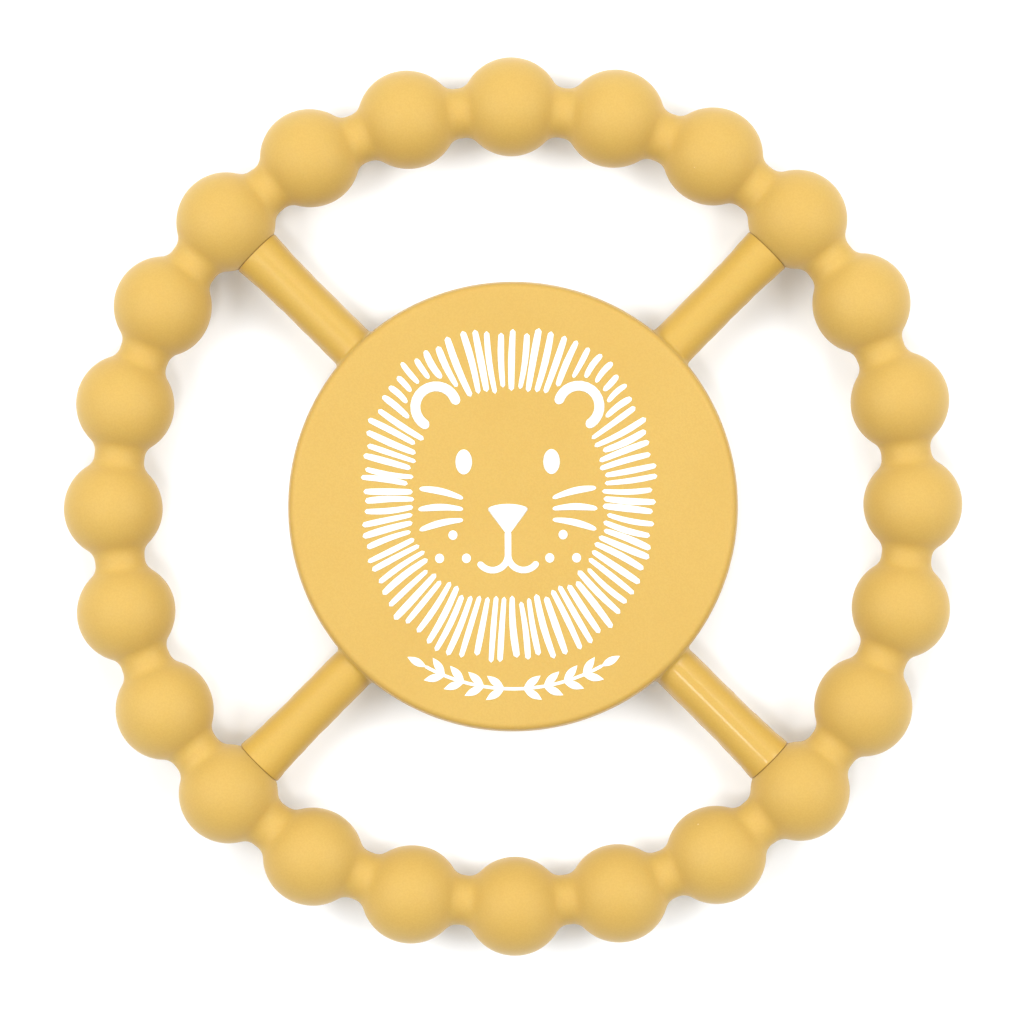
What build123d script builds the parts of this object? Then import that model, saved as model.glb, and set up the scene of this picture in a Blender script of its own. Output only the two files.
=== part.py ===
"""Teething ring: a ring of round beads, a printed disc at its centre and the spokes that join them.

The ring lies flat on the XY plane. The origin is under the centre of the disc, on the surface that
the beads rest on. +Z is up, out of the printed face, and +Y is the top of the printed picture.
"""

import os
from math import cos, radians, sin, sqrt

from build123d import *

# Ring of beads
bead_count = 24
bead_diameter = 11.5
bead_gap = 0.7  # clear space between two neighbouring beads, which the neck bridges
neck_diameter = 5.8
neck_blend_radius = 1.7  # hollow round where a neck runs into a bead

# Spokes, round rods that taper out towards the ring
spoke_names = ["spoke_top_right", "spoke_top_left", "spoke_bottom_left", "spoke_bottom_right"]
spoke_hub_diameter = 5.3
spoke_ring_diameter = 5.9
spoke_flare_length = 8.0  # the taper's length, measured back from the bead's surface

# Keyed end of a spoke, moulded into the disc at one end and into a bead at the other
key_land_length = 0.9  # full-width stretch between the surface and the waist
key_waist_length = 1.5
key_waist_diameter = 3.6
key_head_length = 1.8
key_head_diameter = 5.0
key_head_round = 0.5

# Centre disc
disc_diameter = 52.4
disc_cover = 1.0  # material over a spoke's root, above it and below it
disc_edge_round = 0.8
disc_draft = 3.0  # degrees that the rim leans in, from its middle to either face

# Printed picture: a plain lion's face in a mane of brush strokes, over a sprig of leaves
ink_thickness = 0.1
art_centre = (-0.6, 1.3)  # from the disc's axis
sides = (1, -1)  # right and left

mane_stroke_count = 80
mane_inner_half_width = 11.3
mane_inner_half_height = 12.1
mane_outer_half_width = 17.0
mane_outer_half_height = 19.2
mane_squareness = 2.4  # 2 would be an ellipse
mane_stroke_width = 0.78
mane_length_wobble = 0.4
mane_tilt_wobble = 1.8  # degrees

ear_offset = (8.3, 10.3)
ear_radius = 2.4
ear_line_width = 1.2
ear_direction = 52.0  # degrees up from level that an ear points
ear_sweep = 215.0  # degrees of arc
ear_margin = 0.4  # bare space between an ear and the mane

eye_offset = (5.1, 3.9)
eye_width = 2.0
eye_height = 2.9

nose_top = -1.0
nose_width = 5.2
nose_height = 3.5
nose_round = 0.7
lip_length = 2.4  # from the tip of the nose to the mouth
mouth_radius = 1.8
mouth_sweep = 140.0  # degrees of arc on each side
line_width = 0.8

whisker_count = 3  # on each cheek
whisker_length = 5.2
whisker_width = 0.85
whisker_offset = (5.2, -1.6)
whisker_spacing = 1.25
whisker_fan = 13.0  # degrees between two whiskers

freckle_count = 3  # on each cheek
freckle_diameter = 1.1
freckle_offset = (6.4, -6.4)
freckle_spacing = 1.8  # from the middle of the group to each freckle

leaf_pairs = 4  # on each side of the sprig's middle
leaf_arc_radius = 21.2  # from the disc's axis
leaf_start = 3.0  # degrees from the middle to the first pair
leaf_pitch = 6.4  # degrees between two pairs
leaf_length = 2.5
leaf_width = 0.95
leaf_lean = 34.0  # degrees that a leaf leans off the stem
stem_width = 0.4

# Worked out from the sizes above
bead_radius = bead_diameter / 2
bead_step = 360 / bead_count
bead_pitch = bead_diameter + bead_gap
ring_radius = bead_pitch / 2 / sin(radians(bead_step / 2))
neck_circle_radius = ring_radius * cos(radians(bead_step / 2))
neck_radius = neck_diameter / 2
spoke_step = 360 / len(spoke_names)
bead_surface = ring_radius - sqrt(bead_radius**2 - (spoke_ring_diameter / 2) ** 2)
disc_radius = disc_diameter / 2
disc_thickness = spoke_hub_diameter + 2 * disc_cover
middle = Plane.XY.offset(bead_radius)
disc_face = middle.offset(disc_thickness / 2)


def blend_limit():
    """Largest neck blend that leaves room for the two blends of one neck.

    The centre of a blend of radius r stands bead radius + r from the bead's centre and
    neck radius + r from the neck's axis, and it has to stay on its own side of the neck's middle.
    """
    spare = (bead_pitch / 2) ** 2 - bead_radius**2 + neck_radius**2
    return spare / (2 * (bead_radius - neck_radius))


def keyed_end(mouth, inward, land_diameter):
    """Outline of a keyed end, from its land to its tip on the axis. Inward is +1 or -1 along X."""
    waist_start = mouth + inward * key_land_length
    head_start = waist_start + inward * key_waist_length
    tip = head_start + inward * key_head_length
    return [
        (waist_start, land_diameter / 2),
        (waist_start, key_waist_diameter / 2),
        (head_start, key_waist_diameter / 2),
        (head_start, key_head_diameter / 2),
        (tip, key_head_diameter / 2),
        (tip, 0),
    ]


def on_art(x, y, angle=0.0):
    """Place on the printed face, measured from the picture's centre."""
    return Location((art_centre[0] + x, art_centre[1] + y, 0), (0, 0, angle))


def on_both_sides(offset):
    """Two mirrored places on the printed face, right and left of the picture's centre."""
    return [on_art(side * offset[0], offset[1]) for side in sides]


def on_stem(angle, turn):
    """Place on the sprig's stem, at an angle about the disc's axis, turned from the outward line."""
    return Location((0, 0, 0), (0, 0, angle)) * Location((leaf_arc_radius, 0, 0), (0, 0, turn))


def arc(radius, middle_angle, sweep):
    """Arc about the origin, from the angle of its middle and its sweep in degrees."""
    return Edge.make_circle(radius, start_angle=middle_angle - sweep / 2, end_angle=middle_angle + sweep / 2)


def mane_edge(angle, half_width, half_height):
    """Distance from the picture's centre to a squarish oval, at an angle in degrees."""
    across = abs(cos(radians(angle))) / half_width
    up = abs(sin(radians(angle))) / half_height
    return (across**mane_squareness + up**mane_squareness) ** (-1 / mane_squareness)


def brush_stroke(length, width):
    """Face of one brush stroke along +X from the origin, round at both ends, widest past its middle."""
    half = width / 2
    side = [(0.08 * length, 0.66 * half), (0.60 * length, half), (0.94 * length, 0.62 * half)]
    other_side = [(x, -y) for x, y in reversed(side)]
    with BuildSketch() as stroke:
        with BuildLine():
            Spline((0, 0), *side, (length, 0), *other_side, periodic=True)
        make_face()
    return stroke.face()


def mane_stroke(n):
    """Face of one stroke of the mane, in its place. The strokes run anticlockwise from +X."""
    angle = 360 * (n + 0.5) / mane_stroke_count
    start = mane_edge(angle, mane_inner_half_width, mane_inner_half_height)
    end = mane_edge(angle, mane_outer_half_width, mane_outer_half_height)
    start += mane_length_wobble * sin(2.3 * n)
    end += mane_length_wobble * sin(5.1 * n + 1)
    tilt = mane_tilt_wobble * sin(3.7 * n)
    outward = on_art(0, 0, angle) * Location((start, 0, 0), (0, 0, tilt))
    return outward * brush_stroke(end - start, mane_stroke_width)


def leaf():
    """Face of one leaf along +X from the origin, pointed at both ends."""
    with BuildSketch() as outline:
        with BuildLine():
            ThreePointArc((0, 0), (leaf_length / 2, leaf_width / 2), (leaf_length, 0))
            ThreePointArc((leaf_length, 0), (leaf_length / 2, -leaf_width / 2), (0, 0))
        make_face()
    return outline.face()


# One spoke along +X, at its real distance from the disc's axis
hub_end = keyed_end(disc_radius, -1, spoke_hub_diameter)
ring_end = keyed_end(bead_surface, 1, spoke_ring_diameter)
flare_start = (bead_surface - spoke_flare_length, spoke_hub_diameter / 2)
flare_end = (bead_surface, spoke_ring_diameter / 2)

with BuildPart() as spoke:
    with BuildSketch(Plane.XZ):
        with BuildLine():
            Polyline(*reversed(hub_end), flare_start)
            TangentArc(flare_start, flare_end, tangent=(1, 0))
            Polyline(flare_end, *ring_end, hub_end[-1])
        make_face()
    revolve(axis=Axis.X)
    circles = spoke.edges().filter_by(GeomType.CIRCLE)
    head_rims = circles.filter_by(lambda rim: abs(rim.radius - key_head_diameter / 2) < 1e-6)
    fillet(head_rims, key_head_round)

spokes = [
    middle.location * Location((0, 0, 0), (0, 0, spoke_step * (n + 0.5))) * spoke.part
    for n in range(len(spoke_names))
]

with BuildPart() as bead_ring:
    with Locations(middle):
        with PolarLocations(ring_radius, bead_count):
            Sphere(bead_radius)
        with PolarLocations(neck_circle_radius, bead_count, start_angle=bead_step / 2):
            Cylinder(neck_radius, bead_pitch, rotation=(90, 0, 0))
    # Where a neck runs into a bead, the rim is the ring's only kind of free curve
    neck_rims = bead_ring.edges().filter_by(GeomType.BSPLINE)
    fillet(neck_rims, min(neck_blend_radius, 0.9 * blend_limit()))
    add(spokes, mode=Mode.SUBTRACT)

with BuildPart() as hub_disc:
    with BuildSketch(middle):
        Circle(disc_radius)
    extrude(amount=disc_thickness / 2, both=True, taper=disc_draft)
    fillet(hub_disc.faces().filter_by(Axis.Z).edges(), disc_edge_round)
    add(spokes, mode=Mode.SUBTRACT)

with BuildPart() as mane_print:
    with BuildSketch(disc_face):
        add([mane_stroke(n) for n in range(mane_stroke_count)])
        with Locations(*on_both_sides(ear_offset)):
            Circle(ear_radius + ear_line_width / 2 + ear_margin, mode=Mode.SUBTRACT)
    extrude(amount=ink_thickness)

with BuildPart() as ear_print:
    with BuildSketch(disc_face):
        for side, place in zip(sides, on_both_sides(ear_offset)):
            with Locations(place):
                SlotArc(arc(ear_radius, 90 - side * (90 - ear_direction), ear_sweep), ear_line_width)
    extrude(amount=ink_thickness)

with BuildPart() as eye_print:
    with BuildSketch(disc_face):
        with Locations(*on_both_sides(eye_offset)):
            Ellipse(eye_width / 2, eye_height / 2)
    extrude(amount=ink_thickness)

nose_tip = nose_top - nose_height
mouth_line = nose_tip - lip_length
with BuildPart() as nose_and_mouth_print:
    with BuildSketch(disc_face) as nose_and_mouth:
        with Locations(on_art(0, nose_top)):
            Polygon((-nose_width / 2, 0), (nose_width / 2, 0), (0, -nose_height), align=None)
        fillet(nose_and_mouth.vertices(), nose_round)
        with Locations(on_art(0, (nose_top + mouth_line) / 2)):
            SlotOverall(nose_top - mouth_line + line_width, line_width, rotation=90)
        for side in sides:
            with Locations(on_art(side * mouth_radius, mouth_line)):
                SlotArc(arc(mouth_radius, 270 - side * (90 - mouth_sweep / 2), mouth_sweep), line_width)
    extrude(amount=ink_thickness)

with BuildPart() as whisker_print:
    with BuildSketch(disc_face):
        for side in sides:
            for n in range(whisker_count):
                level = (whisker_count - 1) / 2 - n
                x = side * whisker_offset[0]
                y = whisker_offset[1] + level * whisker_spacing
                angle = 90 - side * (90 - level * whisker_fan)
                add(on_art(x, y, angle) * brush_stroke(whisker_length, whisker_width))
    extrude(amount=ink_thickness)

with BuildPart() as freckle_print:
    with BuildSketch(disc_face):
        for place in on_both_sides(freckle_offset):
            with Locations(place):
                with PolarLocations(freckle_spacing, freckle_count, start_angle=90):
                    Circle(freckle_diameter / 2)
    extrude(amount=ink_thickness)

stem_half_sweep = leaf_start + leaf_pairs * leaf_pitch
with BuildPart() as leaf_print:
    with BuildSketch(disc_face):
        SlotArc(arc(leaf_arc_radius, 270, 2 * stem_half_sweep), stem_width)
        for side in sides:
            add(on_stem(270 + side * stem_half_sweep, side * 90) * leaf())
            for n in range(leaf_pairs):
                for lean in (leaf_lean, -leaf_lean):
                    angle = 270 + side * (leaf_start + n * leaf_pitch)
                    add(on_stem(angle, side * 90 + lean) * leaf())
    extrude(amount=ink_thickness)

pieces = {
    "bead_ring": bead_ring.part,
    "hub_disc": hub_disc.part,
    "mane_print": mane_print.part,
    "ear_print": ear_print.part,
    "eye_print": eye_print.part,
    "nose_and_mouth_print": nose_and_mouth_print.part,
    "whisker_print": whisker_print.part,
    "freckle_print": freckle_print.part,
    "leaf_print": leaf_print.part,
}
pieces.update(zip(spoke_names, spokes))

os.makedirs("parts", exist_ok=True)
for name, piece in pieces.items():
    piece.label = name
    export_step(piece, f"parts/{name}.step")
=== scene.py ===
import math

import bpy
import numpy as np
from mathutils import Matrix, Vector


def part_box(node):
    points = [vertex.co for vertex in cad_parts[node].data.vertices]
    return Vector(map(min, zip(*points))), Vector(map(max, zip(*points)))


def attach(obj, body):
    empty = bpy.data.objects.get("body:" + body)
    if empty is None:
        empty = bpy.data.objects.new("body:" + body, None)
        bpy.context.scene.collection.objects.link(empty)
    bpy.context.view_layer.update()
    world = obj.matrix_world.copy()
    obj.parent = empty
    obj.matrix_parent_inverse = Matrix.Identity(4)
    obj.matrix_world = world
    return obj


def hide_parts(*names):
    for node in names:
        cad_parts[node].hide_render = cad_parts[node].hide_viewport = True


# A teething ring lying on a white table: silicone beads, disc and spokes, and a picture in white ink.
# Lengths in the dictionaries are millimetres, as a mould maker gives them, and angles are degrees.
mm = 0.001
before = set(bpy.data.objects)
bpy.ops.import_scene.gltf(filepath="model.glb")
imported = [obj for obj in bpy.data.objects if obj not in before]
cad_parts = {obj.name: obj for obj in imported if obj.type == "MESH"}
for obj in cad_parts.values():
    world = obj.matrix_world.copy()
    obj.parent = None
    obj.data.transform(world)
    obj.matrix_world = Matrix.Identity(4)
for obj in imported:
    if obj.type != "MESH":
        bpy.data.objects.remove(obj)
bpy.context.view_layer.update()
print("frame loaded:", len(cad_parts), "nodes")


def gridFaces(rows, columns, closedRows):
    # Quads between neighbouring rows of a grid of points, whose columns run round and close on themselves.
    u = np.arange(rows if closedRows else rows - 1)[:, None]
    v = np.arange(columns)[None, :]
    nextU, nextV = (u + 1) % rows, (v + 1) % columns
    corners = [u * columns + v, u * columns + nextV, nextU * columns + nextV, nextU * columns + v]
    return np.stack([c.reshape(-1) for c in corners], axis=1)


def tubeFaces(rows, columns):
    # Quads along a tube, and one face across each of its two ends.
    sides = gridFaces(rows, columns, False).tolist()
    firstEnd = list(range(columns))[::-1]
    lastEnd = list(range((rows - 1) * columns, rows * columns))
    return sides + [firstEnd, lastEnd]


def addPiece(name, points, faces, material, nodes):
    # A finished object at the origin, in metres, that stands for CAD nodes and rides on the one body.
    mesh = bpy.data.meshes.new(name)
    mesh.from_pydata(np.asarray(points).reshape(-1, 3).tolist(), [], faces)
    mesh.validate()
    mesh.shade_smooth()
    mesh.materials.append(material)
    piece = bpy.data.objects.new(name, mesh)
    bpy.context.scene.collection.objects.link(piece)
    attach(piece, "root")
    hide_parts(*nodes)
    return piece


def roundAngles(count, gather):
    # Angles once round a section. They gather at 0 and 180 degrees, where the mould parts:
    # angle = t - gather * sin(2t) / 2, and gather 0 would space them evenly.
    t = np.arange(count) * 2 * np.pi / count
    return t - gather * np.sin(2 * t) / 2


def bump(distance, width):
    # Bell curve of height 1 across a distance.
    return np.exp(-(distance / width) ** 2)


class Value:
    # One output socket of a node tree. Arithmetic on it adds the Math nodes that work it out.
    def __init__(self, tree, socket):
        self.tree, self.socket = tree, socket

    def work(self, operation, *others):
        return self.tree.value("ShaderNodeMath", {"operation": operation}, dict(enumerate((self, *others))))

    def __add__(self, other):
        return self.work("ADD", other)

    def __mul__(self, other):
        return self.work("MULTIPLY", other)

    def __rsub__(self, other):
        return self.work("MULTIPLY_ADD", -1, other)

    __radd__ = __add__
    __rmul__ = __mul__


class Finish:
    # A material and its node tree, and the one method that adds a node to it.
    def __init__(self, name, constants):
        self.material = bpy.data.materials.new(name)
        self.material.use_nodes = True
        self.tree = self.material.node_tree
        self.shader = self.tree.nodes["Principled BSDF"]
        for socket, number in constants.items():
            self.shader.inputs[socket].default_value = number

    def node(self, kind, settings=None, inputs=None):
        made = self.tree.nodes.new(kind)
        for name, setting in (settings or {}).items():
            setattr(made, name, setting)
        for name, given in (inputs or {}).items():
            if isinstance(given, Value):
                self.tree.links.new(given.socket, made.inputs[name])
            else:
                made.inputs[name].default_value = given
        return made

    def value(self, kind, settings=None, inputs=None, output=0):
        return Value(self, self.node(kind, settings, inputs).outputs[output])

    def place(self):
        return self.value("ShaderNodeTexCoord", output="Object")

    def noise(self, size, detail=2.0):
        # Soft noise from 0 to 1, whose lumps are about size millimetres across.
        inputs = {"Vector": self.place(), "Scale": 1 / (size * mm), "Detail": detail}
        return self.value("ShaderNodeTexNoise", {}, inputs)

    def ramp(self, value, low, high):
        # Smooth step of a value from low to high, from 0 to 1.
        inputs = {"Value": value, "From Min": low, "From Max": high}
        return self.value("ShaderNodeMapRange", {"interpolation_type": "SMOOTHSTEP"}, inputs)

    def mix(self, factor, colourA, colourB):
        settings = {"data_type": "RGBA", "clamp_factor": True}
        return self.value("ShaderNodeMix", settings, {0: factor, 6: colourA, 7: colourB}, output=2)

    def specks(self, spacing, radius, share, shift):
        # Small round dots, one at the most in each cell of a jittered lattice, in a share of the cells.
        inputs = {0: self.place(), 1: (shift, shift, 0)}
        moved = self.value("ShaderNodeVectorMath", {"operation": "ADD"}, inputs)
        cells = self.node("ShaderNodeTexVoronoi", {}, {"Vector": moved, "Scale": 1 / (spacing * mm)})
        distance, colour = Value(self, cells.outputs["Distance"]), Value(self, cells.outputs["Color"])
        luck = self.value("ShaderNodeSeparateColor", {}, {"Color": colour}, output="Red")
        chosen = luck.work("LESS_THAN", share)
        return (1 - self.ramp(distance, 0.6 * radius / spacing, radius / spacing)) * chosen

    def link(self, socket, value):
        self.tree.links.new(value.socket, self.shader.inputs[socket])

    def relief(self, height, depth):
        # Bump of a 0 to 1 height, whose full height is depth millimetres.
        self.link("Normal", self.value("ShaderNodeBump", {}, {"Height": height, "Distance": depth * mm}))


def rgba(red, green, blue):
    # Linear colour from the 0 to 255 numbers of a colour picker.
    screen = np.array([red, green, blue]) / 255
    linear = np.where(screen <= 0.04045, screen / 12.92, ((screen + 0.055) / 1.055) ** 2.4)
    return (*linear.tolist(), 1.0)


silicone = {
    "colour": (190, 157, 79),
    "deepColour": (185, 150, 72),  # where the pigment is a touch denser
    "patchSize": 14.0,
    "grainColour": (168, 134, 58),
    "grainShare": 0.2,
    "grainSize": 0.22,
    "paleSpeck": {"colour": (235, 222, 190), "cover": 0.7, "spacing": 5.0, "radius": 0.085, "shift": 0.0},
    "darkSpeck": {"colour": (120, 92, 50), "cover": 0.75, "spacing": 8.5, "radius": 0.068, "shift": 0.05},
    "speckLift": 0.8,  # how far a pale speck stands out, as a share of the grain
    "constants": {
        "Subsurface Weight": 0.2,
        "Subsurface Radius": (1.0, 0.55, 0.2),
        "Subsurface Scale": 1.2 * mm,
        "IOR": 1.41,
        "Sheen Weight": 0.22,
        "Sheen Roughness": 0.4,
    },
}


def siliconeFinish(name, piece, colours):
    # Dyed silicone: pigment in soft patches, a few specks of dust, fine grain and uneven polish.
    finish = Finish(name, silicone["constants"])
    patches = finish.noise(silicone["patchSize"])
    colour = finish.mix(patches, rgba(*colours["colour"]), rgba(*colours["deepColour"]))
    grain = finish.noise(silicone["grainSize"], 3.0)
    mottle = (1 - finish.ramp(grain, 0.35, 0.65)) * silicone["grainShare"]
    colour = finish.mix(mottle, colour, rgba(*silicone["grainColour"]))
    dust = {}
    for kind in ("paleSpeck", "darkSpeck"):
        speck = silicone[kind]
        dust[kind] = finish.specks(speck["spacing"], speck["radius"], piece["speckShare"], speck["shift"])
        colour = finish.mix(dust[kind] * speck["cover"], colour, rgba(*speck["colour"]))
    finish.colour = colour
    finish.link("Base Color", colour)
    spread = piece["roughnessSpread"]
    finish.link("Roughness", grain * spread + patches * spread + (piece["roughness"] - spread))
    finish.relief(grain + dust["paleSpeck"] * silicone["speckLift"], piece["grainDepth"])
    return finish


ink = {"colour": (246, 245, 240), "thinColour": (238, 232, 212), "grainSize": 0.35, "grainDepth": 0.006}
inkFinish = Finish("whiteInk", {"Roughness": 0.55, "IOR": 1.45})
inkGrain = inkFinish.noise(ink["grainSize"], 3.0)
inkCover = inkFinish.ramp(inkGrain, 0.55, 0.85)
inkFinish.link("Base Color", inkFinish.mix(inkCover, rgba(*ink["colour"]), rgba(*ink["thinColour"])))
inkFinish.relief(inkGrain, ink["grainDepth"])
print("ink finish made")


ring = {
    "beadCount": 24,
    "neckDiameter": 5.8,
    "blendRadius": 1.7,  # hollow round where a neck runs into a bead
    "partingHeight": 0.035,  # fine ridge that the two halves of the mould leave round the edge
    "partingWidth": 0.09,
    "standOut": 0.55,  # how much further out the ring is at the four spokes than half way between
    "roughness": 0.62,
    "roughnessSpread": 0.08,
    "grainDepth": 0.006,
    "speckShare": 0.45,
    "beadSteps": 26,
    "blendSteps": 6,
    "roundSteps": 72,
}
ringLow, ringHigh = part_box("bead_ring")
beadRadius = (ringHigh.z - ringLow.z) / 2
middleHeight = (ringHigh.z + ringLow.z) / 2
ringRadius = (ringHigh.x - ringLow.x) / 2 - beadRadius


def beadSections():
    # The sections of one bead, from the middle of one neck to just before the middle of the next.
    # Each is a circle in a plane across the path. On the bead it is radius * cos(b) at distance
    # radius * sin(b); on a hollow round it is the inside of a torus; on the neck it stays the same.
    # Returned are each circle's distance along the path, its radius and the turn of its plane.
    halfTurn = math.pi / ring["beadCount"]
    halfPitch = ringRadius * math.sin(halfTurn)
    neck, blend = ring["neckDiameter"] / 2 * mm, ring["blendRadius"] * mm
    blendCentre = math.sqrt((beadRadius + blend) ** 2 - (neck + blend) ** 2)
    blendTurn = math.asin(blendCentre / (beadRadius + blend))
    b = np.linspace(-blendTurn, blendTurn, ring["beadSteps"] + 1)
    g = np.linspace(blendTurn, 0, ring["blendSteps"] + 1)[1:]
    blendAlong = blendCentre - blend * np.sin(g)
    blendRound = neck + blend - blend * np.cos(g)
    along = np.concatenate([[-halfPitch], -blendAlong[::-1], beadRadius * np.sin(b), blendAlong])
    radius = np.concatenate([[neck], blendRound[::-1], beadRadius * np.cos(b), blendRound])
    turn = halfTurn * np.clip(along / (beadRadius * math.sin(blendTurn)), -1, 1)
    return along, radius, turn


def ringPoints():
    # Every bead repeats the sections, each placed along the tangent at its own angle round the ring.
    # At an angle the ring stands out by standOut * (1 - cos(4 * angle)) / 2.
    along, radius, turn = beadSections()
    bead = np.arange(ring["beadCount"])[:, None] * 2 * math.pi / ring["beadCount"]
    out = bead + turn[None, :]  # the direction in each section's plane that points out of the ring
    where = bead + np.arctan2(along, ringRadius)[None, :]
    further = ring["standOut"] * mm * (1 - np.cos(4 * where)) / 2
    centreX = ringRadius * np.cos(bead) - along * np.sin(out) + further * np.cos(where)
    centreY = ringRadius * np.sin(bead) + along * np.cos(out) + further * np.sin(where)
    around = roundAngles(ring["roundSteps"], 0.97)
    offLine = radius[:, None] * np.sin(around)[None, :]
    ridge = ring["partingHeight"] * mm * bump(offLine, ring["partingWidth"] * mm)
    patchy = 1 + 0.5 * np.sin(7 * bead + 3 * along / beadRadius) * np.sin(3 * bead + 1)
    grown = radius[None, :, None] + ridge[None, :, :] * patchy[:, :, None]
    reach, lift = grown * np.cos(around), grown * np.sin(around)
    x = centreX[:, :, None] + reach * np.cos(out)[:, :, None]
    y = centreY[:, :, None] + reach * np.sin(out)[:, :, None]
    return np.stack([x, y, middleHeight + lift], axis=-1).reshape(-1, ring["roundSteps"], 3)


points = ringPoints()
faces = gridFaces(len(points), ring["roundSteps"], True)[:, ::-1].tolist()
beadFinish = siliconeFinish("beadSilicone", ring, silicone)
addPiece("beadRing", points, faces, beadFinish.material, ["bead_ring"])
print("ring made:", len(faces), "faces")


disc = {
    "edgeRound": 0.8,
    "draft": 3.0,  # the rim leans in from its middle to either face
    "partingHeight": 0.08,
    "partingWidth": 0.11,
    "roughness": 0.6,
    "roughnessSpread": 0.08,
    "grainDepth": 0.012,
    "speckShare": 0.35,
    "roundSteps": 288,
    "faceRings": (0.6, 3, 6, 10, 14, 18, 21, 23.5),
}
discLow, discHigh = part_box("hub_disc")
discRadius = discHigh.x
faceHeight = discHigh.z


def discProfile():
    # Half profile from the face's middle to the rim's middle: flat face, round edge, leaning rim and
    # the ridge of the mould line. The round is an arc that is tangent to the face and to the rim.
    half = (discHigh.z - discLow.z) / 2
    edge, lean = disc["edgeRound"] * mm, math.radians(disc["draft"])
    arcHeight = half - edge
    arcReach = discRadius - (edge + arcHeight * math.sin(lean)) / math.cos(lean)
    arc = np.linspace(math.pi / 2, lean, 10)
    rimHeight = (arcHeight + edge * math.sin(lean)) * (1 - np.linspace(0, 1, 16)[1:]) ** 1.6
    rimReach = discRadius - rimHeight * math.tan(lean)
    rimReach = rimReach + disc["partingHeight"] * mm * bump(rimHeight, disc["partingWidth"] * mm)
    faceReach = np.array(disc["faceRings"]) * mm
    reach = np.concatenate([faceReach, arcReach + edge * np.cos(arc), rimReach])
    height = np.concatenate([np.full(len(faceReach), half), arcHeight + edge * np.sin(arc), rimHeight])
    return reach, height


def discPoints():
    # The half profile and its mirror image below the mould line, carried once round the axis.
    reach, height = discProfile()
    reach = np.concatenate([reach, reach[-2::-1]])
    height = np.concatenate([height, -height[-2::-1]])
    around = np.arange(disc["roundSteps"]) * 2 * math.pi / disc["roundSteps"]
    x = reach[:, None] * np.cos(around)
    y = reach[:, None] * np.sin(around)
    z = np.broadcast_to(middleHeight + height[:, None], x.shape)
    return np.stack([x, y, z], axis=-1)


points = discPoints()
faces = [face[::-1] for face in tubeFaces(len(points), disc["roundSteps"])]
discFinish = siliconeFinish("discSilicone", disc, silicone)
addPiece("hubDisc", points, faces, discFinish.material, ["hub_disc"])
print("disc made:", len(faces), "faces")


spoke = {
    "names": ("spoke_top_right", "spoke_top_left", "spoke_bottom_left", "spoke_bottom_right"),
    "creaseShadeColour": (112, 78, 26),  # painted shade: the dark line painted where a spoke meets its bead, standing in for the crease's shadow
    "creaseShadeWidth": 0.16,
    "colour": (189, 155, 70),
    "deepColour": (184, 148, 64),
    "roughness": 0.5,
    "roughnessSpread": 0.03,
    "grainDepth": 0.004,
    "speckShare": 0.3,
    "shine": (0.0, 0.22, 0.0, 0.3),  # coat of each spoke, in the order of names: two carry a streak
    "shineRoughness": (0.4, 0.3, 0.4, 0.17),
    "hubDiameter": 5.3,
    "flareLength": 8.0,
    "rootRound": 0.5,  # where the spoke grows out of the disc
    "endRound": 0.3,  # where it meets its bead, so that a fine dark line shows
    "buried": 0.9,
    "partingHeight": 0.05,
    "partingWidth": 0.1,
    "roundSteps": 64,
}
spokeLow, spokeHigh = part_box(spoke["names"][0])
thick = (spokeHigh.z - spokeLow.z) / 2
# Where a rod of that radius comes out of a bead's sphere, as a distance from the disc's axis.
beadFace = ringRadius + ring["standOut"] * mm - math.sqrt(beadRadius ** 2 - thick ** 2)


def spokeProfile():
    # Distance from the disc's axis and radius: out of the disc with a hollow round, straight, then an
    # arc that widens to the bead, a small round, and a neck hidden inside the bead.
    thin = spoke["hubDiameter"] / 2 * mm
    root, end, buried = spoke["rootRound"] * mm, spoke["endRound"] * mm, spoke["buried"] * mm
    rimReach = discRadius - thin ** 2 / (2 * discRadius)
    turn = np.linspace(0, math.pi / 2, 7)
    rootAlong = rimReach + root - root * np.cos(turn)
    rootRadius = thin + root - root * np.sin(turn)
    flareStart = beadFace - spoke["flareLength"] * mm
    flareAlong = np.linspace(flareStart, beadFace - end, 14)
    flareRadius = thin + (thick - thin) * ((flareAlong - flareStart) / (spoke["flareLength"] * mm)) ** 2
    endAlong = beadFace - end + end * np.sin(turn)
    endRadius = flareRadius[-1] - end + end * np.cos(turn)
    along = [[rimReach - buried], rootAlong, np.linspace(rootAlong[-1], flareStart, 10)[1:-1]]
    along += [flareAlong, endAlong[1:], [beadFace + buried]]
    radius = [[thin + root], rootRadius, np.full(8, thin), flareRadius, endRadius[1:], [endRadius[-1]]]
    return np.concatenate(along), np.concatenate(radius)


def spokePoints(angle, seed):
    # Circles along the spoke, with the fine ridge of the mould line on its two sides.
    along, radius = spokeProfile()
    around = roundAngles(spoke["roundSteps"], 0.95)
    ridge = spoke["partingHeight"] * mm * bump(radius[:, None] * np.sin(around), spoke["partingWidth"] * mm)
    ridge = ridge * (1 + 0.6 * np.sin(900 * along + seed) * np.sin(2300 * along))[:, None]
    grown = radius[:, None] + ridge
    sideways, lift = grown * np.cos(around), grown * np.sin(around)
    x = along[:, None] * math.cos(angle) - sideways * math.sin(angle)
    y = along[:, None] * math.sin(angle) + sideways * math.cos(angle)
    return np.stack([x, y, middleHeight + lift], axis=-1)


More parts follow.
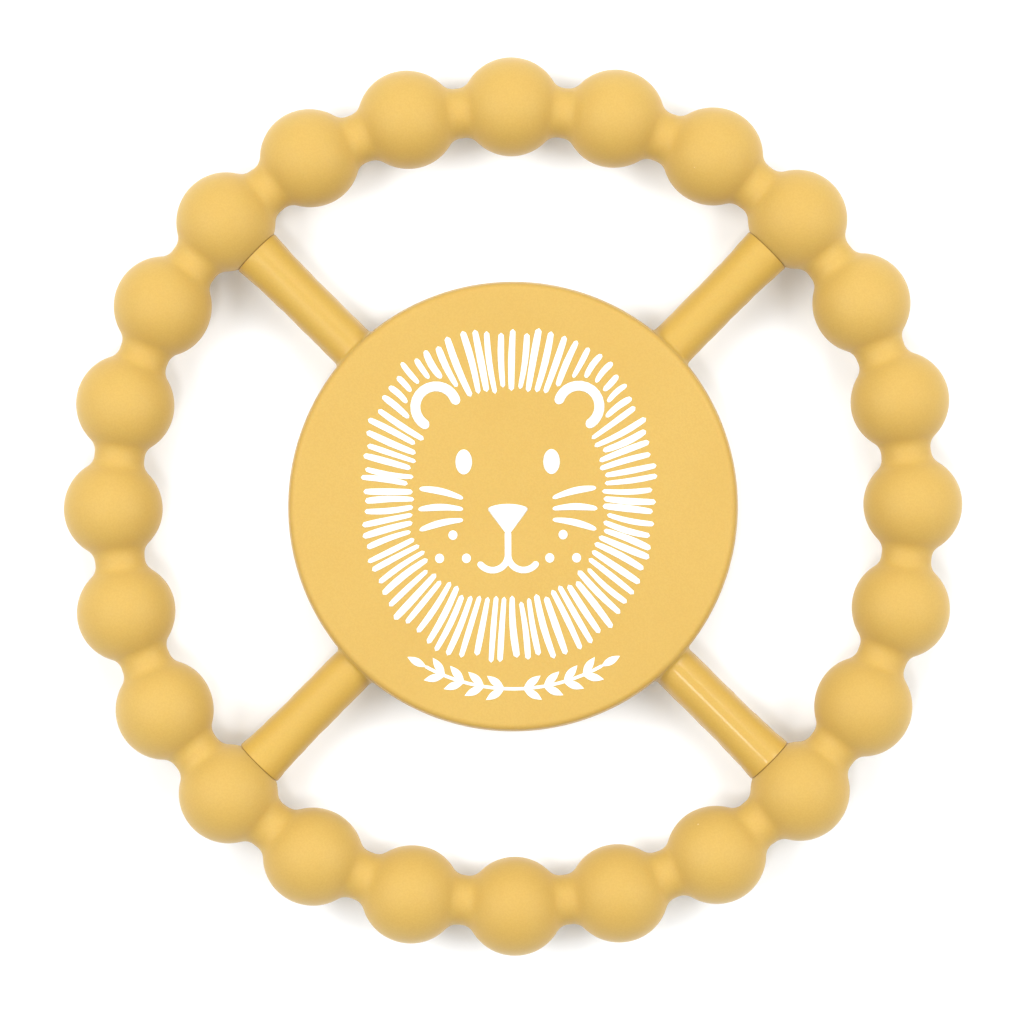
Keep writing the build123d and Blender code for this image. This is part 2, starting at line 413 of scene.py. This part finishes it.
for count, name in enumerate(spoke["names"]):
    angle = 2 * math.pi * (count + 0.5) / len(spoke["names"])
    points = spokePoints(angle, count)
    faces = tubeFaces(len(points), spoke["roundSteps"])
    parts = name.split("_")
    pieceName = parts[0] + "".join(part.capitalize() for part in parts[1:])
    finish = siliconeFinish(pieceName + "Silicone", spoke, spoke)
    heading = (math.cos(angle), math.sin(angle), 0)
    inputs = {0: finish.place(), 1: heading}
    reach = finish.value("ShaderNodeVectorMath", {"operation": "DOT_PRODUCT"}, inputs, "Value")
    # Painted shade: the colour turns dark just short of the bead's face, where the crease between spoke and
    # bead lies in shadow.
    creaseShadeWidth = spoke["creaseShadeWidth"] * mm
    creaseShade = finish.ramp(reach, beadFace - 1.5 * creaseShadeWidth, beadFace - 0.5 * creaseShadeWidth)
    finish.link("Base Color", finish.mix(creaseShade, finish.colour, rgba(*spoke["creaseShadeColour"])))
    finish.shader.inputs["Coat Weight"].default_value = spoke["shine"][count]
    finish.shader.inputs["Coat Roughness"].default_value = spoke["shineRoughness"][count]
    addPiece(pieceName, points, faces, finish.material, [name])
print("spokes made")


picture = {
    "eyeLift": 3.9,  # the eyes' height above the picture's centre
    "sunk": 0.02,  # how far the ink goes into the silicone
    "alongSteps": 9,
    "aroundSteps": 10,
}
eyeLow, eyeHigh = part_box("eye_print")
inkHeight = eyeHigh.z - faceHeight
pictureX = (eyeLow.x + eyeHigh.x) / 2
pictureY = (eyeLow.y + eyeHigh.y) / 2 - picture["eyeLift"] * mm


def inkStrokes(path, halfWidth):
    # Strokes of ink from their centre lines. path is (strokes, steps, 2) and halfWidth (strokes, steps),
    # in metres. A stroke's section is a low dome: width * cos(a) across and height * sin(a) ** 0.5 up,
    # with a flat underside just below the face. It is lower where the stroke thins, and each stroke
    # after the first is up to a fifth thinner, so that no two that cross are level.
    ahead = np.gradient(path, axis=1)
    ahead = ahead / np.maximum(np.linalg.norm(ahead, axis=2, keepdims=True), 1e-12)
    a = np.arange(picture["aroundSteps"]) * 2 * math.pi / picture["aroundSteps"]
    across = halfWidth[:, :, None] * np.cos(a)
    order = np.arange(len(path))[:, None, None]
    full = np.clip(halfWidth / (0.3 * mm), 0.1, 1)[:, :, None] * (1 - 0.2 * (0.618 * order % 1))
    rise = np.where(np.abs(np.sin(a)) < 0.01, 0, np.sin(a))
    up = np.where(rise > 0, inkHeight * full * np.clip(rise, 0, 1) ** 0.5, -picture["sunk"] * mm)
    up = np.where(rise == 0, -0.5 * picture["sunk"] * mm, up)
    x = path[:, :, None, 0] - ahead[:, :, None, 1] * across
    y = path[:, :, None, 1] + ahead[:, :, None, 0] * across
    return np.stack([x, y, faceHeight + up], axis=-1)


def addInk(name, points, node):
    # All the strokes of one motif as one piece: each is a closed tube of its own.
    strokes, rows, columns = points.shape[:3]
    one = tubeFaces(rows, columns)
    faces = [[corner + n * rows * columns for corner in face] for n in range(strokes) for face in one]
    addPiece(name, points, faces, inkFinish.material, [node])


def steps(count):
    # From 0 to 1, closer together towards both ends, so that round ends come out round.
    return (1 - np.cos(np.linspace(0, math.pi, count))) / 2


def roundEnds(t, length, halfWidth):
    # Half width of a stroke with half round ends: full in the middle, sqrt(1 - s * s) within an end.
    fromEnd = np.minimum(t, 1 - t) * length / halfWidth
    return halfWidth * np.sqrt(np.clip(1 - (1 - np.clip(fromEnd, 0.004, 1)) ** 2, 0, 1))


mane = {
    "strokes": 80,
    "innerHalf": (11.3, 12.1),
    "outerHalf": (17.0, 19.2),
    "squareness": 2.4,
    "strokeWidth": 0.8,
    "widthSpread": 0.12,
    "lengthSpread": 0.45,
    "tiltSpread": 2.0,
    "bend": 0.22,
    "fullest": (0.45, 0.75),  # where along its length a stroke is at its widest
    "taper": 0.45,
    "seed": 11,
}
ears = {
    "offset": (8.3, 10.3),
    "radius": 2.4,
    "lineWidth": 1.2,
    "direction": 52.0,
    "sweep": 215.0,
    "margin": 0.4,  # clear silicone between an ear and the mane
    "steps": 25,
}


def squarishOval(angle, half):
    # Reach of a squarish oval: (|cos| / a) ** n + (|sin| / b) ** n, to the power -1 / n.
    n = mane["squareness"]
    return ((np.abs(np.cos(angle)) / half[0]) ** n + (np.abs(np.sin(angle)) / half[1]) ** n) ** (-1 / n)


def maneStrokes():
    # Strokes that run outward between two squarish ovals, each a little off in length, tilt and width.
    # A stroke behind an ear starts past a clear margin round it.
    random = np.random.default_rng(mane["seed"])
    count = mane["strokes"]
    angle = 2 * math.pi * (np.arange(count) + 0.5) / count
    outward = np.stack([np.cos(angle), np.sin(angle)], axis=1)
    sideways = np.stack([-outward[:, 1], outward[:, 0]], axis=1)
    start = squarishOval(angle, mane["innerHalf"]) + random.uniform(-1, 1, count) * mane["lengthSpread"]
    end = squarishOval(angle, mane["outerHalf"]) + random.uniform(-1, 1, count) * mane["lengthSpread"]
    clear = ears["radius"] + ears["lineWidth"] / 2 + ears["margin"]
    for side in (1, -1):
        ear = np.array([side * ears["offset"][0], ears["offset"][1]])
        nearest = outward @ ear
        missed = (sideways @ ear) ** 2
        past = nearest + np.sqrt(np.clip(clear ** 2 - missed, 0, None))
        start = np.where(missed < clear ** 2, np.maximum(start, past), start)
    length = end - start
    tilt = np.radians(random.uniform(-1, 1, count) * mane["tiltSpread"])
    bend = random.uniform(-1, 1, count) * mane["bend"]
    width = mane["strokeWidth"] * (1 + random.uniform(-1, 1, count) * mane["widthSpread"])
    fullest = random.uniform(*mane["fullest"], count)
    t = steps(picture["alongSteps"])[None, :]
    along = start[:, None] + t * length[:, None]
    off = t * length[:, None] * np.tan(tilt)[:, None] + bend[:, None] * np.sin(math.pi * t)
    path = along[..., None] * outward[:, None, :] + off[..., None] * sideways[:, None, :]
    taper = 1 - mane["taper"] * np.abs(t - fullest[:, None]) ** 1.3
    half = roundEnds(t, length[:, None], width[:, None] / 2) * taper
    return path * mm + np.array([pictureX, pictureY]), half * mm


addInk("manePrint", inkStrokes(*maneStrokes()), "mane_print")


def arcStroke(centre, radius, middleAngle, sweep, width, count):
    # A line along an arc, with half round ends. It reaches half its width past the arc's two ends.
    past = math.degrees(width / 2 / radius)
    turn = sweep / 2 + past
    t = steps(count)
    angle = np.radians(middleAngle + (2 * t - 1) * turn)
    path = np.stack([centre[0] + radius * np.cos(angle), centre[1] + radius * np.sin(angle)], axis=1)
    return path[None], roundEnds(t, 2 * math.radians(turn) * radius, width / 2)[None]


def onPicture(path, half):
    # From millimetres about the picture's centre to metres about the disc's axis.
    return path * mm + np.array([pictureX, pictureY]), half * mm


def joined(strokes):
    # Several strokes of equal steps as one stack.
    paths, halves = zip(*strokes)
    return np.concatenate(paths), np.concatenate(halves)


earStrokes = [
    arcStroke((side * ears["offset"][0], ears["offset"][1]), ears["radius"],
              90 - side * (90 - ears["direction"]), ears["sweep"], ears["lineWidth"], ears["steps"])
    for side in (1, -1)
]
addInk("earPrint", inkStrokes(*onPicture(*joined(earStrokes))), "ear_print")


def ellipse(centre, width, height, count):
    # A filled oval as one upright stroke: half width = w * sqrt(1 - s * s), with s from -1 to 1.
    s = 2 * steps(count) - 1
    s = np.clip(s, -0.999, 0.999)
    path = np.stack([np.full(count, centre[0]), centre[1] + s * height / 2], axis=1)
    return path[None], (width / 2 * np.sqrt(1 - s ** 2))[None]


eyes = {"offset": (5.1, 3.9), "width": 2.0, "height": 2.9, "steps": 17}
eyeStrokes = [
    ellipse((side * eyes["offset"][0], eyes["offset"][1]), eyes["width"], eyes["height"], eyes["steps"])
    for side in (1, -1)
]
addInk("eyePrint", inkStrokes(*onPicture(*joined(eyeStrokes))), "eye_print")

nose = {
    "top": -1.0,
    "width": 5.2,
    "height": 3.5,
    "shoulder": 0.22,  # the share of the height over which the top rounds off
    "lipLength": 2.4,
    "mouthRadius": 1.8,
    "mouthSweep": 140.0,
    "lineWidth": 0.8,
    "steps": 21,
}


def noseStroke(count):
    # A filled nose, broad and round at the top, whose sides sweep in to a point at the lip line.
    t = steps(count)
    y = nose["top"] - t * nose["height"]
    shoulder = np.sqrt(np.clip(1 - (1 - np.clip(t / nose["shoulder"], 0.002, 1)) ** 2, 0, 1))
    half = nose["width"] / 2 * shoulder * (1 - 0.92 * np.clip((t - 0.1) / 0.9, 0, 1) ** 1.05)
    return np.stack([np.zeros(count), y], axis=1)[None], half[None]


def lineStroke(start, end, width, count):
    # A straight line with half round ends, which reach half its width past its two ends.
    start, end = np.array(start), np.array(end)
    ahead = (end - start) / np.linalg.norm(end - start) * width / 2
    t = steps(count)
    path = (start - ahead) + t[:, None] * (end - start + 2 * ahead)
    return path[None], roundEnds(t, np.linalg.norm(end - start) + width, width / 2)[None]


noseTip = nose["top"] - nose["height"]
mouthTop = noseTip - nose["lipLength"]
width, count = nose["lineWidth"], nose["steps"]
noseStrokes = [noseStroke(count), lineStroke((0, noseTip), (0, mouthTop), width, count)]
for side in (1, -1):
    middle = 270 - side * (90 - nose["mouthSweep"] / 2)
    centre = (side * nose["mouthRadius"], mouthTop)
    noseStrokes.append(arcStroke(centre, nose["mouthRadius"], middle, nose["mouthSweep"], width, count))
addInk("noseAndMouthPrint", inkStrokes(*onPicture(*joined(noseStrokes))), "nose_and_mouth_print")

whiskers = {
    "levels": (1, 0, -1),
    "length": 5.2,
    "width": 0.85,
    "rootShare": 0.6,  # width at the cheek, as a share of the full width
    "offset": (5.2, -1.6),
    "spacing": 1.25,
    "fan": 13.0,
    "bend": 0.25,
    "steps": 15,
}


def whiskerStroke(side, level, count):
    # A tapered stroke that starts thin at the cheek, swells past its middle and bends a little.
    t = steps(count)
    angle = math.radians(90 - side * (90 - level * whiskers["fan"]))
    outward = np.array([math.cos(angle), math.sin(angle)])
    upward = np.array([0, 1])
    start = np.array([side * whiskers["offset"][0], whiskers["offset"][1] + level * whiskers["spacing"]])
    along = t[:, None] * whiskers["length"] * outward
    path = start + along + (whiskers["bend"] * np.sin(math.pi * t))[:, None] * upward
    root = whiskers["rootShare"]
    swell = root + (1 - root) * np.sin(math.pi * t ** 1.2)
    return path[None], (roundEnds(t, whiskers["length"], whiskers["width"] / 2) * swell)[None]


whiskerStrokes = [
    whiskerStroke(side, level, whiskers["steps"]) for side in (1, -1) for level in whiskers["levels"]
]
addInk("whiskerPrint", inkStrokes(*onPicture(*joined(whiskerStrokes))), "whisker_print")

freckles = {"offset": (6.4, -6.4), "spacing": 1.8, "turns": (90, 210, 330), "diameter": 1.1, "steps": 11}
freckleStrokes = []
for side in (1, -1):
    for turn in freckles["turns"]:
        x = side * freckles["offset"][0] + freckles["spacing"] * math.cos(math.radians(turn))
        y = freckles["offset"][1] + freckles["spacing"] * math.sin(math.radians(turn))
        across = freckles["diameter"]
        freckleStrokes.append(ellipse((x, y), across, across, freckles["steps"]))
addInk("frecklePrint", inkStrokes(*onPicture(*joined(freckleStrokes))), "freckle_print")

leaves = {
    "pairs": 4,
    "arcRadius": 21.2,  # of the stem, about the disc's axis
    "start": 3.0,
    "pitch": 6.4,
    "length": 2.5,
    "width": 0.95,
    "lean": 34.0,
    "stemWidth": 0.4,
    "steps": 31,
}


def leafStroke(angle, turn, count):
    # A leaf pointed at both ends: half width = w * sin(pi * t) along a straight line from the stem.
    t = steps(count)
    root = leaves["arcRadius"] * np.array([math.cos(math.radians(angle)), math.sin(math.radians(angle))])
    heading = math.radians(angle + turn)
    path = root + t[:, None] * leaves["length"] * np.array([math.cos(heading), math.sin(heading)])
    return path[None], (leaves["width"] / 2 * np.maximum(np.sin(math.pi * t), 0.02))[None]


stemEnd = leaves["start"] + leaves["pairs"] * leaves["pitch"]
leafStrokes = [
    arcStroke((0, 0), leaves["arcRadius"], 270, 2 * stemEnd, leaves["stemWidth"], leaves["steps"])
]
for side in (1, -1):
    leafStrokes.append(leafStroke(270 + side * stemEnd, side * 90, leaves["steps"]))
    for pair in range(leaves["pairs"]):
        foot = 270 + side * (leaves["start"] + pair * leaves["pitch"])
        for lean in (leaves["lean"], -leaves["lean"]):
            leafStrokes.append(leafStroke(foot, side * 90 + lean, leaves["steps"]))
path, half = joined(leafStrokes)
addInk("leafPrint", inkStrokes(path * mm, half * mm), "leaf_print")
print("picture made")


studio = {
    "floorSize": 4.0,
    "floorColour": (0.91, 0.94, 0.98, 1.0),
    "ambient": 0.42,
    "boxSize": 0.7,
    "leftPlace": (-0.72, 0.06, 0.8),
    "leftPower": 8.7,
    "rightPlace": (0.72, 0.06, 0.8),
    "rightPower": 8.4,
    "backPlace": (0.0, 0.8, 0.78),  # past the top of the picture, weaker than the two at the sides
    "backPower": 5.4,
    "streakPlace": (-0.11, -0.21, 0.9),  # a small lamp that draws the bright streaks on the spokes
    "streakSize": 0.14,
    "streakPower": 1.5,
    "frameWidth": 119.7,  # what the camera sees across, at the height of the ring's middle
    "lens": 180.0,
    "aim": (-0.12, -0.64),
    "turn": -0.27,
}


def addLight(name, place, size, power):
    # A square softbox that faces the middle of the ring.
    lamp = bpy.data.lights.new(name, "AREA")
    lamp.size = size
    lamp.energy = power
    box = bpy.data.objects.new(name, lamp)
    bpy.context.scene.collection.objects.link(box)
    box.location = place
    box.rotation_euler = (-box.location).to_track_quat("-Z", "Y").to_euler()
    box.visible_camera = False
    return box


half = studio["floorSize"] / 2
floorMesh = bpy.data.meshes.new("table")
corners = [(-half, -half, 0), (half, -half, 0), (half, half, 0), (-half, half, 0)]
floorMesh.from_pydata(corners, [], [(0, 1, 2, 3)])
floorFinish = Finish("whiteTable", {"Base Color": studio["floorColour"], "Roughness": 0.9})
floorMesh.materials.append(floorFinish.material)
table = bpy.data.objects.new("table", floorMesh)
bpy.context.scene.collection.objects.link(table)

world = bpy.data.worlds.new("studio")
bpy.context.scene.world = world
world.use_nodes = True
world.node_tree.nodes["Background"].inputs["Color"].default_value = (1.0, 1.0, 1.0, 1.0)
world.node_tree.nodes["Background"].inputs["Strength"].default_value = studio["ambient"]
for side in ("left", "right", "back"):
    addLight(side + "Softbox", studio[side + "Place"], studio["boxSize"], studio[side + "Power"])
addLight("streakLight", studio["streakPlace"], studio["streakSize"], studio["streakPower"])

lens = bpy.data.cameras.new("camera")
lens.lens = studio["lens"]
lens.clip_start = 0.01
camera = bpy.data.objects.new("camera", lens)
bpy.context.scene.collection.objects.link(camera)
distance = studio["frameWidth"] * mm * studio["lens"] / lens.sensor_width
camera.location = (studio["aim"][0] * mm, studio["aim"][1] * mm, middleHeight + distance)
camera.rotation_euler = (0, 0, math.radians(studio["turn"]))
bpy.context.scene.camera = camera
bpy.context.scene.view_settings.view_transform = "Standard"
print("table, light and camera set")
